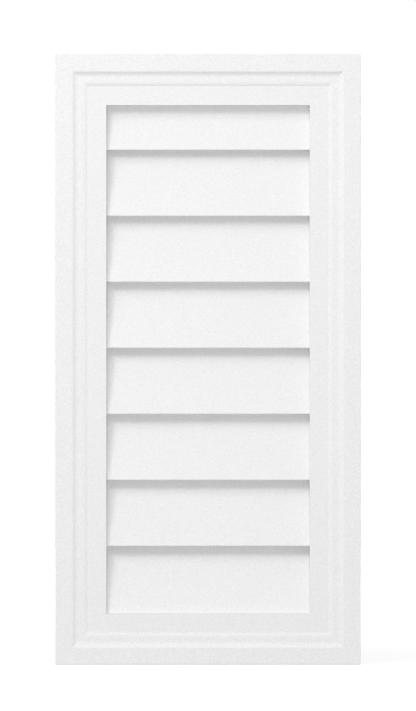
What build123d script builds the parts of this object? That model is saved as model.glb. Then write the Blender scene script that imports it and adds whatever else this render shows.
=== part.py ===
"""Louvered wall vent in white cellular PVC, built as a mitred casing round a louver box."""

import os
from math import cos, radians, tan

from build123d import *

# Overall size. The wall plane is y = 0, the front faces -Y and the vent is centred on x and z.
vent_width = 304.8
vent_height = 609.6
projection = 50.8

# Casing moulding, measured inward from its outer edge.
casing_width = 31.75
outer_flat = 17.4
cove_width = 5.2
cove_drop = 2.4
fillet_flat = 4.6
round_drop = 1.35
outer_ease = 0.6
arris_ease = 3.0
relief_margin = 6.0
relief_depth = 1.6

# Louver box of plain boards on edge, inside the casing.
board_thickness = 19.05
screen_recess = 2.0

# Louvers, with both long edges cut level and the ends let into the jambs.
louver_pitch = 66.0
sill_rise = 1.4
louver_overlap = 12.0
louver_tilt = 15.0
louver_thickness = 6.35
louver_setback = 6.35
louver_ease = 0.5
housing_depth = 9.5
housing_fit = 0.05

# Insect screen laid on the back edges of the boards.
screen_overlap = 13.0
screen_thickness = 0.6
screen_bar = 1.2
screen_columns = 8
screen_rows = 15

# Countersunk screws through the jambs into the ends of the head and sill boards.
screw_length = 50.0
screw_shank = 4.2
screw_head = 8.4
screw_head_height = 2.4
screw_tip = 5.0
screw_point = 0.8
screw_fit = 0.1

# Sizes that follow from the ones above.
profile_drop = cove_drop + round_drop
box_front = -(projection - profile_drop)
box_back = -screen_recess
box_depth = box_back - box_front
box_mid = (box_front + box_back) / 2
box_half_width = vent_width / 2 - casing_width
box_half_height = vent_height / 2 - casing_width
clear_half_width = box_half_width - board_thickness
clear_half_height = box_half_height - board_thickness
louver_front = box_front + louver_setback
louver_slope = tan(radians(louver_tilt))
louver_depth = louver_thickness / cos(radians(louver_tilt))
louver_count = int((2 * clear_half_height - sill_rise) // louver_pitch) + 1
louver_length = 2 * (clear_half_width + housing_depth - housing_fit)


def make_casing(inward, half_length, outer_distance):
    """One mitred length of moulding. `inward` points from its outer edge to the vent's centre."""
    front = Vector(0, -1, 0)
    inward = Vector(*inward)
    run = inward.cross(front)
    edge = inward * -outer_distance
    cove_end = outer_flat + cove_width
    round_start = cove_end + fillet_flat
    with BuildPart() as casing:
        with BuildSketch(Plane(origin=edge, x_dir=inward, z_dir=run)):
            with BuildLine():
                Polyline((0, 0), (0, projection), (outer_flat, projection))
                TangentArc(
                    (cove_end, projection - cove_drop), (outer_flat, projection), tangent=(-1, 0)
                )
                Line((cove_end, projection - cove_drop), (round_start, projection - cove_drop))
                TangentArc(
                    (round_start, projection - cove_drop), (casing_width, -box_front), tangent=(1, 0)
                )
                # The back is relieved between two bearing strips, so that it sits on an uneven wall.
                Polyline(
                    (casing_width, -box_front),
                    (casing_width, 0),
                    (casing_width - relief_margin, 0),
                    (casing_width - relief_margin, relief_depth),
                    (relief_margin, relief_depth),
                    (relief_margin, 0),
                    (0, 0),
                )
            make_face()
        extrude(amount=half_length, both=True)
        front_edges = casing.faces().sort_by(Axis.Y)[0].edges().filter_by(Axis(edge, run))
        fillet(front_edges.sort_by(Axis((0, 0, 0), inward))[0], radius=outer_ease)
        front_edges = casing.faces().sort_by(Axis.Y)[0].edges().filter_by(Axis(edge, run))
        fillet(front_edges.sort_by(Axis((0, 0, 0), inward))[-1], radius=arris_ease)
        for end in (1, -1):
            corner = edge + run * (end * half_length)
            split(bisect_by=Plane(origin=corner, z_dir=inward + run * end), keep=Keep.BOTTOM)
    return casing.part


def make_louver(index, length, grow):
    """Louver number `index`, counted up from 0 on the sill, with all but its ends moved out by `grow`."""
    arris = -clear_half_height + sill_rise + index * louver_pitch
    low = arris if index else -clear_half_height + housing_fit
    high = min(arris + louver_pitch + louver_overlap, clear_half_height - housing_fit)
    low = low - grow
    high = high + grow
    level_grow = grow / cos(radians(louver_tilt))
    front_low = louver_front + (low - arris) * louver_slope - level_grow
    front_high = louver_front + (high - arris) * louver_slope - level_grow
    depth = louver_depth + 2 * level_grow
    with BuildPart() as louver:
        with BuildSketch(Plane.YZ):
            Polygon(
                (front_low, low),
                (front_low + depth, low),
                (front_high + depth, high),
                (front_high, high),
                align=None,
            )
        extrude(amount=length / 2, both=True)
        if index and not grow:
            fillet(louver.edges().filter_by(Axis.X).sort_by(Axis.Y)[0], radius=louver_ease)
    return louver.part


screw_places = []
for side in (1, -1):
    for end in (1, -1):
        for quarter in (-0.25, 0.25):
            centre = (
                side * box_half_width,
                box_mid + quarter * box_depth,
                end * (clear_half_height + board_thickness / 2),
            )
            screw_places.append(Plane(origin=centre, z_dir=(side, 0, 0)))
from_the_top = (Align.CENTER, Align.CENTER, Align.MAX)
shank_end = screw_length - screw_tip

# Each screw lies along its place's -Z, with its head flush with the jamb's outer face.
with BuildPart() as box_screws:
    with Locations(*screw_places):
        Cone(screw_shank / 2, screw_head / 2, screw_head_height, align=from_the_top)
        Cylinder(screw_shank / 2, shank_end, align=from_the_top)
        with Locations((0, 0, -shank_end)):
            Cone(screw_point / 2, screw_shank / 2, screw_tip, align=from_the_top)

# The bores are the same screws without their points, larger all round by the fit.
with BuildPart() as screw_bores:
    with Locations(*screw_places):
        with Locations((0, 0, screw_fit)):
            Cone(
                screw_shank / 2 + screw_fit,
                screw_head / 2 + screw_fit,
                screw_head_height,
                align=from_the_top,
            )
        Cylinder(screw_shank / 2 + screw_fit, screw_length + screw_fit, align=from_the_top)

housings = []
for number in range(louver_count):
    housings.append(make_louver(number, 2 * (clear_half_width + housing_depth), housing_fit))


def make_jamb(side):
    """One side board of the box, with a housing for each louver end and bores for its screws."""
    with BuildPart() as jamb:
        with Locations((side * (clear_half_width + board_thickness / 2), box_mid, 0)):
            Box(board_thickness, box_depth, 2 * box_half_height)
        for housing in housings:
            add(housing, mode=Mode.SUBTRACT)
        add(screw_bores.part, mode=Mode.SUBTRACT)
    return jamb.part


def make_rail(end):
    """The head board (end 1) or sill board (end -1), fitted between the jambs."""
    with BuildPart() as rail:
        with Locations((0, box_mid, end * (clear_half_height + board_thickness / 2))):
            Box(2 * clear_half_width, box_depth, board_thickness)
        add(screw_bores.part, mode=Mode.SUBTRACT)
    return rail.part


with BuildPart() as insect_screen:
    with BuildSketch(Plane.XZ.offset(screen_recess)):
        Rectangle(2 * (clear_half_width + screen_overlap), 2 * (clear_half_height + screen_overlap))
        column_step = (2 * clear_half_width + screen_bar) / screen_columns
        row_step = (2 * clear_half_height + screen_bar) / screen_rows
        with GridLocations(column_step, row_step, screen_columns, screen_rows):
            Rectangle(column_step - screen_bar, row_step - screen_bar, mode=Mode.SUBTRACT)
    extrude(amount=-screen_thickness)

pieces = {
    "head_casing": make_casing((0, 0, -1), vent_width / 2, vent_height / 2),
    "sill_casing": make_casing((0, 0, 1), vent_width / 2, vent_height / 2),
    "left_casing": make_casing((1, 0, 0), vent_height / 2, vent_width / 2),
    "right_casing": make_casing((-1, 0, 0), vent_height / 2, vent_width / 2),
    "head_board": make_rail(1),
    "sill_board": make_rail(-1),
    "left_jamb": make_jamb(-1),
    "right_jamb": make_jamb(1),
    "insect_screen": insect_screen.part,
    "box_screws": box_screws.part,
}
for number in range(louver_count):
    pieces[f"louver_{number + 1}"] = make_louver(number, louver_length, 0.0)

os.makedirs("parts", exist_ok=True)
for name, piece in pieces.items():
    piece.label = name
    export_step(piece, f"parts/{name}.step")
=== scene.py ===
import math

import bpy
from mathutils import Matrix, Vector


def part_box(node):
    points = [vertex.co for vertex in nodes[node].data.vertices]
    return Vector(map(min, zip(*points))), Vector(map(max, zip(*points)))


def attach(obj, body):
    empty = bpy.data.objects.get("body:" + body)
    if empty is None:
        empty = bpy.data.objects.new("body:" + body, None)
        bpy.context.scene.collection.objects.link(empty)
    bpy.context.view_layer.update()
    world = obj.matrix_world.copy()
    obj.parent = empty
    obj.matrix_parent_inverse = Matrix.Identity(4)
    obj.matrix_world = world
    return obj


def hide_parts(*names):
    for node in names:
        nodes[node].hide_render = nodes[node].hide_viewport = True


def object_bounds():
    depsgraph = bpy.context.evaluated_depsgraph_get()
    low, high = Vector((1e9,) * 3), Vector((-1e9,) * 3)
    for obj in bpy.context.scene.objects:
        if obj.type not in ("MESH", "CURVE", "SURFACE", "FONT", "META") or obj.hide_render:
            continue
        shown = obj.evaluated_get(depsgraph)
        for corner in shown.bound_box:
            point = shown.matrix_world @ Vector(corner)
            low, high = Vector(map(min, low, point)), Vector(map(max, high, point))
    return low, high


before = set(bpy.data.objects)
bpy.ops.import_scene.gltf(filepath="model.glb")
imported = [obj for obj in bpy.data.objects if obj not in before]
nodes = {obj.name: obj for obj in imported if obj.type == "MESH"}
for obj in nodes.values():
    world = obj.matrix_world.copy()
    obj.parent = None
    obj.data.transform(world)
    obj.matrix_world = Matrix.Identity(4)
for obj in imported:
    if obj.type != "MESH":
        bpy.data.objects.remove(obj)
cad_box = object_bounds()

# Louver box: two jambs with the head and sill boards between them, sawn from 19 mm cellular PVC sheet
# and screwed together. The boards stand on edge, so the flat band round the opening is their front edges.


def linear(hex_colour):
    """An sRGB hex colour as linear RGBA."""
    channels = [int(hex_colour[i:i + 2], 16) / 255 for i in (1, 3, 5)]
    return [c / 12.92 if c <= 0.04045 else ((c + 0.055) / 1.055) ** 2.4 for c in channels] + [1.0]


def add_node(tree, kind, settings=None, inputs=None):
    """Adds a node. An input is given a value, or the output socket that feeds it."""
    made = tree.nodes.new(kind)
    for name, value in (settings or {}).items():
        setattr(made, name, value)
    for key, value in (inputs or {}).items():
        if isinstance(value, bpy.types.NodeSocket):
            tree.links.new(value, made.inputs[key])
        else:
            made.inputs[key].default_value = value
    return made


def new_material(name):
    """An empty node material and its tree."""
    material = bpy.data.materials.new(name)
    material.use_nodes = True
    material.node_tree.nodes.clear()
    return material, material.node_tree


def cellular_pvc(name, run):
    """White cellular PVC with a matte, faintly pebbled skin. The piece was drawn along the axis `run`."""
    material, tree = new_material(name)
    place = add_node(tree, "ShaderNodeTexCoord")
    # Pebbles of about 1.2 mm are the finest that the render shows. The real skin is finer still.
    pebble = add_node(tree, "ShaderNodeTexNoise", {"noise_dimensions": "3D"}, {
        "Vector": place.outputs["Object"], "Scale": 1 / 0.0012, "Detail": 1.0, "Roughness": 0.6})
    # Broad, barely visible unevenness of the sheet, about 60 mm across.
    cloud = add_node(tree, "ShaderNodeTexNoise", {"noise_dimensions": "3D"}, {
        "Vector": place.outputs["Object"], "Scale": 1 / 0.06, "Detail": 2.0, "Roughness": 0.5})
    # Drawing lines run along the piece: stretched noise, about 2 mm across and half a metre long.
    stretch = [1 / 0.002] * 3
    stretch["XYZ".index(run)] = 1 / 0.5
    drawn = add_node(tree, "ShaderNodeMapping", None, {"Vector": place.outputs["Object"], "Scale": stretch})
    lines = add_node(tree, "ShaderNodeTexNoise", {"noise_dimensions": "3D"}, {
        "Vector": drawn.outputs["Vector"], "Scale": 1.0, "Detail": 1.0, "Roughness": 0.5})
    # A colour mix has its factor at input 0, its two colours at 6 and 7, and its result at output 2.
    tone = add_node(tree, "ShaderNodeMix", {"data_type": "RGBA"}, {
        0: pebble.outputs["Fac"], 6: linear("#D4D4D4"), 7: linear("#F2F2F2")})
    shade = add_node(tree, "ShaderNodeMix", {"data_type": "RGBA", "blend_type": "MULTIPLY"}, {
        0: cloud.outputs["Fac"], 6: tone.outputs[2], 7: linear("#FDFDFD")})
    gloss = add_node(tree, "ShaderNodeMapRange", None, {
        "Value": pebble.outputs["Fac"], "To Min": 0.56, "To Max": 0.68})
    ridges = add_node(tree, "ShaderNodeBump", None, {
        "Height": lines.outputs["Fac"], "Strength": 0.15, "Distance": 0.00005})
    skin = add_node(tree, "ShaderNodeBump", None, {
        "Height": pebble.outputs["Fac"], "Normal": ridges.outputs["Normal"],
        "Strength": 0.25, "Distance": 0.00008})
    surface = add_node(tree, "ShaderNodeBsdfPrincipled", None, {
        "Base Color": shade.outputs[2], "Roughness": gloss.outputs["Result"],
        "Normal": skin.outputs["Normal"], "IOR": 1.53, "Specular IOR Level": 0.25})
    add_node(tree, "ShaderNodeOutputMaterial", None, {"Surface": surface.outputs["BSDF"]})
    return material


def dress(node_names, material):
    """Gives CAD nodes a finish in place of the plain one they came with."""
    for name in node_names:
        for holder in nodes[name].material_slots:
            holder.material = material


pvc_upright = cellular_pvc("cellular_pvc_matte_skin_upright", "Z")
pvc_level = cellular_pvc("cellular_pvc_matte_skin_level", "X")
dress(["left_jamb", "right_jamb"], pvc_upright)
dress(["head_board", "sill_board"], pvc_level)

# Louvers: eight flat blades of 6 mm cellular PVC sheet with both long edges cut level.
# Their ends are let into sloping housings in the jambs and cemented there.

dress([name for name in nodes if name.startswith("louver_")], pvc_level)

# Casing: cellular PVC moulding with a cove and a round-over, mitred at the corners.
# It is cemented round the louver box, and its relieved back bears on the wall.

dress(["head_casing", "sill_casing"], pvc_level)
dress(["left_casing", "right_casing"], pvc_upright)

# Insect screen: plain woven aluminium wire cloth, eight wires to the inch, cut to a rectangle
# that laps the back edges of the boards. It is laid in the recess behind the louver box.

screen_low, screen_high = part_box("insect_screen")
screen_size = screen_high - screen_low
screen_centre = (screen_low + screen_high) / 2
mesh_pitch = 0.0032
# Two crossing wires together are just thinner than the screen's 0.6 mm.
wire_diameter = 0.00029


def named_tree(name, inputs):
    """An empty Geometry Nodes tree with named inputs, and the node that hands them out."""
    tree = bpy.data.node_groups.new(name, "GeometryNodeTree")
    for label, kind in inputs:
        tree.interface.new_socket(label, in_out="INPUT", socket_type=kind)
    tree.interface.new_socket("Geometry", in_out="OUTPUT", socket_type="NodeSocketGeometry")
    return tree, add_node(tree, "NodeGroupInput").outputs


def grow(piece_name, tree, values):
    """Runs a tree with its inputs set and returns the result as a plain mesh object."""
    piece = bpy.data.objects.new(piece_name, bpy.data.meshes.new(piece_name))
    bpy.context.scene.collection.objects.link(piece)
    modifier = piece.modifiers.new("grow", "NODES")
    modifier.node_group = tree
    for socket in tree.interface.items_tree:
        if socket.item_type == "SOCKET" and socket.in_out == "INPUT":
            modifier[socket.identifier] = values[socket.name]
    bpy.context.view_layer.update()
    shaped = piece.evaluated_get(bpy.context.evaluated_depsgraph_get())
    mesh = bpy.data.meshes.new_from_object(shaped)
    piece.modifiers.clear()
    piece.data = mesh
    return piece


def woven_aluminium():
    """Drawn aluminium wire, a little dulled by its oxide."""
    material, tree = new_material("aluminium_wire_drawn")
    place = add_node(tree, "ShaderNodeTexCoord")
    dulling = add_node(tree, "ShaderNodeTexNoise", None, {
        "Vector": place.outputs["Object"], "Scale": 1 / 0.012, "Detail": 3.0, "Roughness": 0.6})
    colour = add_node(tree, "ShaderNodeMix", {"data_type": "RGBA"}, {
        0: dulling.outputs["Fac"], 6: linear("#B9BBBD"), 7: linear("#D0D1D2")})
    polish = add_node(tree, "ShaderNodeMapRange", None, {
        "Value": dulling.outputs["Fac"], "To Min": 0.48, "To Max": 0.36})
    surface = add_node(tree, "ShaderNodeBsdfPrincipled", None, {
        "Base Color": colour.outputs[2], "Metallic": 1.0, "Roughness": polish.outputs["Result"]})
    add_node(tree, "ShaderNodeOutputMaterial", None, {"Surface": surface.outputs["BSDF"]})
    return material


cloth, given = named_tree("woven_wire_cloth", [
    ("Width", "NodeSocketFloat"), ("Height", "NodeSocketFloat"), ("Pitch", "NodeSocketFloat"),
    ("Wire Diameter", "NodeSocketFloat"), ("Centre", "NodeSocketVector"), ("Material", "NodeSocketMaterial")])
wire_radius = add_node(cloth, "ShaderNodeMath", {"operation": "MULTIPLY"}, {
    0: given["Wire Diameter"], 1: 0.5})
wire_section = add_node(cloth, "GeometryNodeCurvePrimitiveCircle", None, {
    "Resolution": 4, "Radius": wire_radius.outputs[0]})
wire_sets = []
for along, across, run, step_axis, first_side in (
        ("Width", "Height", 0, 2, 1.0), ("Height", "Width", 2, 0, -1.0)):
    # One wire with a point at each crossing, which bends it by its own radius to one side and then the other.
    fitted = add_node(cloth, "ShaderNodeMath", {"operation": "DIVIDE"}, {0: given[along], 1: given["Pitch"]})
    crossings = add_node(cloth, "ShaderNodeMath", {"operation": "FLOOR"}, {0: fitted.outputs[0]})
    gap = add_node(cloth, "ShaderNodeMath", {"operation": "DIVIDE"}, {
        0: given[along], 1: crossings.outputs[0]})
    over_length = add_node(cloth, "ShaderNodeMath", {"operation": "ADD"}, {
        0: given[along], 1: gap.outputs[0]})
    far = add_node(cloth, "ShaderNodeMath", {"operation": "MULTIPLY"}, {0: over_length.outputs[0], 1: 0.5})
    near = add_node(cloth, "ShaderNodeMath", {"operation": "MULTIPLY"}, {0: over_length.outputs[0], 1: -0.5})
    start = add_node(cloth, "ShaderNodeCombineXYZ", None, {run: near.outputs[0]})
    end = add_node(cloth, "ShaderNodeCombineXYZ", None, {run: far.outputs[0]})
    line = add_node(cloth, "GeometryNodeCurvePrimitiveLine", None, {
        "Start": start.outputs[0], "End": end.outputs[0]})
    count = add_node(cloth, "ShaderNodeMath", {"operation": "ADD"}, {0: crossings.outputs[0], 1: 2.0})
    points = add_node(cloth, "GeometryNodeResampleCurve", None, {
        "Curve": line.outputs[0], "Count": count.outputs[0]})
    index = add_node(cloth, "GeometryNodeInputIndex")
    odd = add_node(cloth, "ShaderNodeMath", {"operation": "MODULO"}, {0: index.outputs[0], 1: 2.0})
    side = add_node(cloth, "ShaderNodeMath", {"operation": "MULTIPLY_ADD"}, {
        0: odd.outputs[0], 1: 2 * first_side, 2: -first_side})
    bend = add_node(cloth, "ShaderNodeMath", {"operation": "MULTIPLY"}, {
        0: side.outputs[0], 1: wire_radius.outputs[0]})
    offset = add_node(cloth, "ShaderNodeCombineXYZ", None, {1: bend.outputs[0]})
    crimped = add_node(cloth, "GeometryNodeSetPosition", None, {
        "Geometry": points.outputs[0], "Offset": offset.outputs[0]})
    # The cloth is cut half way between two wires, so that every wire ends in a short free tip.
    spans = add_node(cloth, "ShaderNodeMath", {"operation": "ADD"}, {0: crossings.outputs[0], 1: 1.0})
    cut = add_node(cloth, "ShaderNodeMath", {"operation": "DIVIDE"}, {0: 0.5, 1: spans.outputs[0]})
    far_cut = add_node(cloth, "ShaderNodeMath", {"operation": "SUBTRACT"}, {0: 1.0, 1: cut.outputs[0]})
    trimmed = add_node(cloth, "GeometryNodeTrimCurve", {"mode": "FACTOR"}, {
        "Curve": crimped.outputs[0], "Start": cut.outputs[0], "End": far_cut.outputs[0]})
    wire = add_node(cloth, "GeometryNodeCurveToMesh", None, {
        "Curve": trimmed.outputs[0], "Profile Curve": wire_section.outputs[0], "Fill Caps": True})
    # The next wire is rolled half round, so that it bends the other way at each crossing.
    room_for = add_node(cloth, "ShaderNodeMath", {"operation": "DIVIDE"}, {
        0: given[across], 1: given["Pitch"]})
    wires = add_node(cloth, "ShaderNodeMath", {"operation": "FLOOR"}, {0: room_for.outputs[0]})
    step = add_node(cloth, "ShaderNodeMath", {"operation": "DIVIDE"}, {0: given[across], 1: wires.outputs[0]})
    slack = add_node(cloth, "ShaderNodeMath", {"operation": "SUBTRACT"}, {
        0: step.outputs[0], 1: given[across]})
    first = add_node(cloth, "ShaderNodeMath", {"operation": "MULTIPLY"}, {0: slack.outputs[0], 1: 0.5})
    first_place = add_node(cloth, "ShaderNodeCombineXYZ", None, {step_axis: first.outputs[0]})
    next_place = add_node(cloth, "ShaderNodeCombineXYZ", None, {step_axis: step.outputs[0]})
    places = add_node(cloth, "GeometryNodeMeshLine", {"mode": "OFFSET"}, {
        "Count": wires.outputs[0], "Start Location": first_place.outputs[0], "Offset": next_place.outputs[0]})
    other = add_node(cloth, "GeometryNodeInputIndex")
    other_odd = add_node(cloth, "ShaderNodeMath", {"operation": "MODULO"}, {0: other.outputs[0], 1: 2.0})
    roll = add_node(cloth, "ShaderNodeMath", {"operation": "MULTIPLY"}, {0: other_odd.outputs[0], 1: math.pi})
    rolled = add_node(cloth, "ShaderNodeCombineXYZ", None, {run: roll.outputs[0]})
    laid = add_node(cloth, "GeometryNodeInstanceOnPoints", None, {
        "Points": places.outputs[0], "Instance": wire.outputs[0], "Rotation": rolled.outputs[0]})
    wire_sets.append(laid)
both = add_node(cloth, "GeometryNodeJoinGeometry")
for wire_set in wire_sets:
    cloth.links.new(wire_set.outputs[0], both.inputs[0])
in_place = add_node(cloth, "GeometryNodeTransform", None, {
    "Geometry": both.outputs[0], "Translation": given["Centre"]})
realized = add_node(cloth, "GeometryNodeRealizeInstances", None, {0: in_place.outputs[0]})
finished = add_node(cloth, "GeometryNodeSetMaterial", None, {
    "Geometry": realized.outputs[0], "Material": given["Material"]})
add_node(cloth, "NodeGroupOutput", None, {0: finished.outputs[0]})

wire_cloth = grow("insect_screen_cloth", cloth, {
    "Width": screen_size.x, "Height": screen_size.z, "Pitch": mesh_pitch, "Wire Diameter": wire_diameter,
    "Centre": screen_centre, "Material": woven_aluminium()})
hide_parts("insect_screen")
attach(wire_cloth, "root")

# Staples: stainless wire staples, 10 mm across the crown, shot through the wire cloth into the back edges
# of the boards about every 70 mm. They were set by hand, so each one lies a little askew.

staple_crown = 0.010
staple_leg = 0.005
staple_wire = 0.0006
staple_spacing = 0.070
staple_inset = 0.0065
staple_corner_gap = 0.030
staple_askew = math.radians(9)
staple_seed = 7


def stainless_steel():
    """Drawn stainless wire: bright, with fine lines along it."""
    material, tree = new_material("stainless_steel_drawn_wire")
    place = add_node(tree, "ShaderNodeTexCoord")
    scratches = add_node(tree, "ShaderNodeTexNoise", None, {
        "Vector": place.outputs["Object"], "Scale": 1 / 0.0008, "Detail": 3.0, "Roughness": 0.7})
    colour = add_node(tree, "ShaderNodeMix", {"data_type": "RGBA"}, {
        0: scratches.outputs["Fac"], 6: linear("#BFBDB9"), 7: linear("#D3D2CF")})
    polish = add_node(tree, "ShaderNodeMapRange", None, {
        "Value": scratches.outputs["Fac"], "To Min": 0.22, "To Max": 0.36})
    surface = add_node(tree, "ShaderNodeBsdfPrincipled", None, {
        "Base Color": colour.outputs[2], "Metallic": 1.0, "Roughness": polish.outputs["Result"]})
    add_node(tree, "ShaderNodeOutputMaterial", None, {"Surface": surface.outputs["BSDF"]})
    return material


stapling, given = named_tree("staples_round_the_border", [
    ("Width", "NodeSocketFloat"), ("Height", "NodeSocketFloat"), ("Spacing", "NodeSocketFloat"),
    ("Crown", "NodeSocketFloat"), ("Leg", "NodeSocketFloat"), ("Wire", "NodeSocketFloat"),
    ("Corner Gap", "NodeSocketFloat"), ("Askew", "NodeSocketFloat"), ("Seed", "NodeSocketInt"),
    ("Centre", "NodeSocketVector"), ("Material", "NodeSocketMaterial")])
# One staple: the crown lies along X at y = 0 and the legs go down -Y, which is into the boards.
half_crown = add_node(stapling, "ShaderNodeMath", {"operation": "MULTIPLY"}, {0: given["Crown"], 1: 0.5})
back_crown = add_node(stapling, "ShaderNodeMath", {"operation": "MULTIPLY"}, {0: given["Crown"], 1: -0.5})
leg_down = add_node(stapling, "ShaderNodeMath", {"operation": "MULTIPLY"}, {0: given["Leg"], 1: -1.0})
corner_a = add_node(stapling, "ShaderNodeCombineXYZ", None, {0: back_crown.outputs[0]})
corner_b = add_node(stapling, "ShaderNodeCombineXYZ", None, {0: half_crown.outputs[0]})
crown = add_node(stapling, "GeometryNodeCurvePrimitiveQuadrilateral", {"mode": "POINTS"})
foot_a = add_node(stapling, "ShaderNodeCombineXYZ", None, {0: back_crown.outputs[0], 1: leg_down.outputs[0]})
foot_b = add_node(stapling, "ShaderNodeCombineXYZ", None, {0: half_crown.outputs[0], 1: leg_down.outputs[0]})
for key, corner in enumerate((foot_a, corner_a, corner_b, foot_b)):
    stapling.links.new(corner.outputs[0], crown.inputs[f"Point {key + 1}"])
# The quadrilateral's closing side, from foot to foot, is taken off, and the two bends are rounded.
opened = add_node(stapling, "GeometryNodeSetSplineCyclic", None, {
    "Geometry": crown.outputs[0], "Cyclic": False})
bent = add_node(stapling, "GeometryNodeFilletCurve", {"mode": "POLY"}, {
    "Curve": opened.outputs[0], "Radius": given["Wire"], "Count": 4})
section = add_node(stapling, "GeometryNodeCurvePrimitiveQuadrilateral", {"mode": "RECTANGLE"}, {
    "Width": given["Wire"], "Height": given["Wire"]})
staple = add_node(stapling, "GeometryNodeCurveToMesh", None, {
    "Curve": bent.outputs[0], "Profile Curve": section.outputs[0], "Fill Caps": True})
# They stand in a row along each side of the cloth, with the crown along that side, clear of the corners.
least = add_node(stapling, "ShaderNodeMath", {"operation": "MULTIPLY"}, {0: given["Askew"], 1: -1.0})
shot = add_node(stapling, "GeometryNodeJoinGeometry")
for along, across, run, side_axis, quarter_turn, way in (
        ("Width", "Height", 0, 2, 0.0, 0.5), ("Width", "Height", 0, 2, 0.0, -0.5),
        ("Height", "Width", 2, 0, math.pi / 2, 0.5), ("Height", "Width", 2, 0, math.pi / 2, -0.5)):
    reach = add_node(stapling, "ShaderNodeMath", {"operation": "SUBTRACT"}, {
        0: given[along], 1: given["Corner Gap"]})
    far = add_node(stapling, "ShaderNodeMath", {"operation": "MULTIPLY"}, {0: reach.outputs[0], 1: 0.5})
    near = add_node(stapling, "ShaderNodeMath", {"operation": "MULTIPLY"}, {0: reach.outputs[0], 1: -0.5})
    aside = add_node(stapling, "ShaderNodeMath", {"operation": "MULTIPLY"}, {0: given[across], 1: way})
    start = add_node(stapling, "ShaderNodeCombineXYZ", None, {
        run: near.outputs[0], side_axis: aside.outputs[0]})
    end = add_node(stapling, "ShaderNodeCombineXYZ", None, {
        run: far.outputs[0], side_axis: aside.outputs[0]})
    gaps = add_node(stapling, "ShaderNodeMath", {"operation": "DIVIDE"}, {
        0: reach.outputs[0], 1: given["Spacing"]})
    whole_gaps = add_node(stapling, "ShaderNodeMath", {"operation": "CEIL"}, {0: gaps.outputs[0]})
    count = add_node(stapling, "ShaderNodeMath", {"operation": "ADD"}, {0: whole_gaps.outputs[0], 1: 1.0})
    places = add_node(stapling, "GeometryNodeMeshLine", {"mode": "END_POINTS"}, {
        "Count": count.outputs[0], "Start Location": start.outputs[0], "Offset": end.outputs[0]})
    # Every row has a seed of its own, so that no two rows lie askew in the same way.
    row_seed = add_node(stapling, "ShaderNodeMath", {"operation": "ADD"}, {
        0: given["Seed"], 1: 2 * run + way + 0.5})
    # A random number has its least and greatest value at inputs 2 and 3, and its result at output 1.
    tilt = add_node(stapling, "FunctionNodeRandomValue", {"data_type": "FLOAT"}, {
        2: least.outputs[0], 3: given["Askew"], "Seed": row_seed.outputs[0]})
    turn = add_node(stapling, "ShaderNodeMath", {"operation": "ADD"}, {0: tilt.outputs[1], 1: quarter_turn})
    heading = add_node(stapling, "ShaderNodeCombineXYZ", None, {1: turn.outputs[0]})
    row = add_node(stapling, "GeometryNodeInstanceOnPoints", None, {
        "Points": places.outputs[0], "Instance": staple.outputs[0], "Rotation": heading.outputs[0]})
    stapling.links.new(row.outputs[0], shot.inputs[0])
in_place = add_node(stapling, "GeometryNodeTransform", None, {
    "Geometry": shot.outputs[0], "Translation": given["Centre"]})
realized = add_node(stapling, "GeometryNodeRealizeInstances", None, {0: in_place.outputs[0]})
finished = add_node(stapling, "GeometryNodeSetMaterial", None, {
    "Geometry": realized.outputs[0], "Material": given["Material"]})
add_node(stapling, "NodeGroupOutput", None, {0: finished.outputs[0]})

steel = stainless_steel()
staples = grow("screen_staples", stapling, {
    "Width": screen_size.x - 2 * staple_inset, "Height": screen_size.z - 2 * staple_inset,
    "Spacing": staple_spacing, "Crown": staple_crown, "Leg": staple_leg, "Wire": staple_wire,
    "Corner Gap": staple_corner_gap, "Askew": staple_askew, "Seed": staple_seed,
    "Centre": Vector((screen_centre.x, screen_high.y + staple_wire / 2, screen_centre.z)), "Material": steel})
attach(staples, "root")

# Box screws: countersunk stainless screws through the jambs into the ends of the head and sill boards.
# The casing hides them once it is cemented on.

dress(["box_screws"], steel)

# Floor and surround: a pale studio floor with no edge in view. The camera sees it and the air behind it as
# white, while the light that they throw back on the vent stays that of a plain pale room. Near the vent the
# floor's own white is held back, so that a faint shadow shows on it.

floor_half = 6.0
floor_level = cad_box[0][2]
floor_corners = [
    (floor_half * x, floor_half * y, floor_level) for x, y in ((-1, -1), (1, -1), (1, 1), (-1, 1))]


def camera_share(tree):
    """A socket that is 1 where the camera looks, straight, mirrored or through glass, and 0 elsewhere."""
    ray = add_node(tree, "ShaderNodeLightPath")
    straight_or_mirrored = add_node(tree, "ShaderNodeMath", {"operation": "MAXIMUM"}, {
        0: ray.outputs["Is Camera Ray"], 1: ray.outputs["Is Glossy Ray"]})
    seen = add_node(tree, "ShaderNodeMath", {"operation": "MAXIMUM"}, {
        0: straight_or_mirrored.outputs[0], 1: ray.outputs["Is Transmission Ray"]})
    return seen.outputs[0]


floor_mesh = bpy.data.meshes.new("studio_floor")
floor_mesh.from_pydata(floor_corners, [], [(0, 1, 2, 3)])
floor = bpy.data.objects.new("studio_floor", floor_mesh)
bpy.context.scene.collection.objects.link(floor)
pale_floor, tree = new_material("studio_floor_pale")
place = add_node(tree, "ShaderNodeTexCoord")
reach = add_node(tree, "ShaderNodeVectorMath", {"operation": "LENGTH"}, {0: place.outputs["Object"]})
whiteness = add_node(tree, "ShaderNodeMapRange", None, {
    "Value": reach.outputs["Value"], "From Min": 0.5, "From Max": 2.5, "To Min": 0.70, "To Max": 0.90})
lift = add_node(tree, "ShaderNodeMath", {"operation": "MULTIPLY"}, {
    0: camera_share(tree), 1: whiteness.outputs["Result"]})
matte = add_node(tree, "ShaderNodeBsdfDiffuse", None, {"Color": linear("#AAAAAA")})
glow = add_node(tree, "ShaderNodeEmission", None, {"Color": linear("#FFFFFF"), "Strength": lift.outputs[0]})
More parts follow.
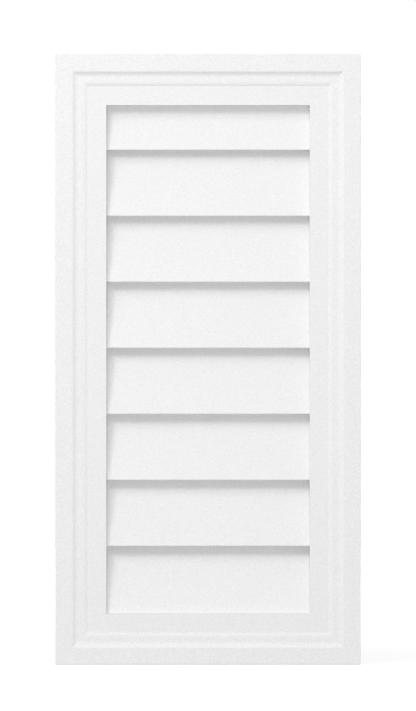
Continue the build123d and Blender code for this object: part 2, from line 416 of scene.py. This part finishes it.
together = add_node(tree, "ShaderNodeAddShader", None, {0: matte.outputs[0], 1: glow.outputs[0]})
add_node(tree, "ShaderNodeOutputMaterial", None, {"Surface": together.outputs[0]})
floor_mesh.materials.append(pale_floor)

room = bpy.data.worlds.new("pale_room")
bpy.context.scene.world = room
room.use_nodes = True
tree = room.node_tree
tree.nodes.clear()
strength = add_node(tree, "ShaderNodeMapRange", None, {
    "Value": camera_share(tree), "To Min": 0.530, "To Max": 1.0})
air = add_node(tree, "ShaderNodeBackground", None, {
    "Color": linear("#FFFFFF"), "Strength": strength.outputs["Result"]})
add_node(tree, "ShaderNodeOutputWorld", None, {"Surface": air.outputs[0]})

# Light: a wide softbox above and to the left of the camera, a smaller one higher up that softens its shadows,
# a strip behind the camera that opens them, a weak softbox behind the vent for its back and right side, and
# two strips that graze the front from the sides and bring out the moulding.


def softbox(name, place, width, height, level):
    """A soft lamp facing the vent, which gives a white wall in the vent's place the brightness `level`."""
    lamp = bpy.data.lights.new(name, "AREA")
    lamp.shape = "RECTANGLE"
    lamp.size = width
    lamp.size_y = height
    away = Vector(place)
    lamp.energy = level * math.pi ** 2 * away.length ** 3 / abs(away.y)
    holder = bpy.data.objects.new(name, lamp)
    holder.location = away
    holder.rotation_euler = (-away).to_track_quat("-Z", "Y").to_euler()
    bpy.context.scene.collection.objects.link(holder)


softbox("key_softbox", (-0.65, -2.11, 1.17), 0.95, 0.55, 0.226)
softbox("high_softbox", (-0.89, -1.68, 1.62), 0.60, 0.70, 0.094)
softbox("front_fill", (0.0, -10.60, -0.02), 2.20, 0.50, 0.320)
softbox("back_fill", (1.90, 2.10, 0.75), 1.20, 0.80, 0.18)
softbox("left_strip", (-2.50, -0.122, 0.30), 0.08, 0.80, 0.0060)
softbox("right_strip", (2.50, -0.122, 0.30), 0.08, 0.80, 0.0037)

# Camera: straight on to the middle of the vent, as in the photograph, and from far enough away that the
# sides of the opening hardly converge.

camera_distance = 10.0
camera_height = 0.0039
picture_height = 0.7101
view = bpy.data.cameras.new("photo_view")
view.sensor_width = 36.0
view.lens = view.sensor_width * camera_distance / picture_height
camera = bpy.data.objects.new("photo_view", view)
camera.location = (0.0, cad_box[0][1] - camera_distance, camera_height)
camera.rotation_euler = (math.pi / 2, 0.0, 0.0)
bpy.context.scene.collection.objects.link(camera)
bpy.context.scene.camera = camera
bpy.context.scene.view_settings.view_transform = "Standard"
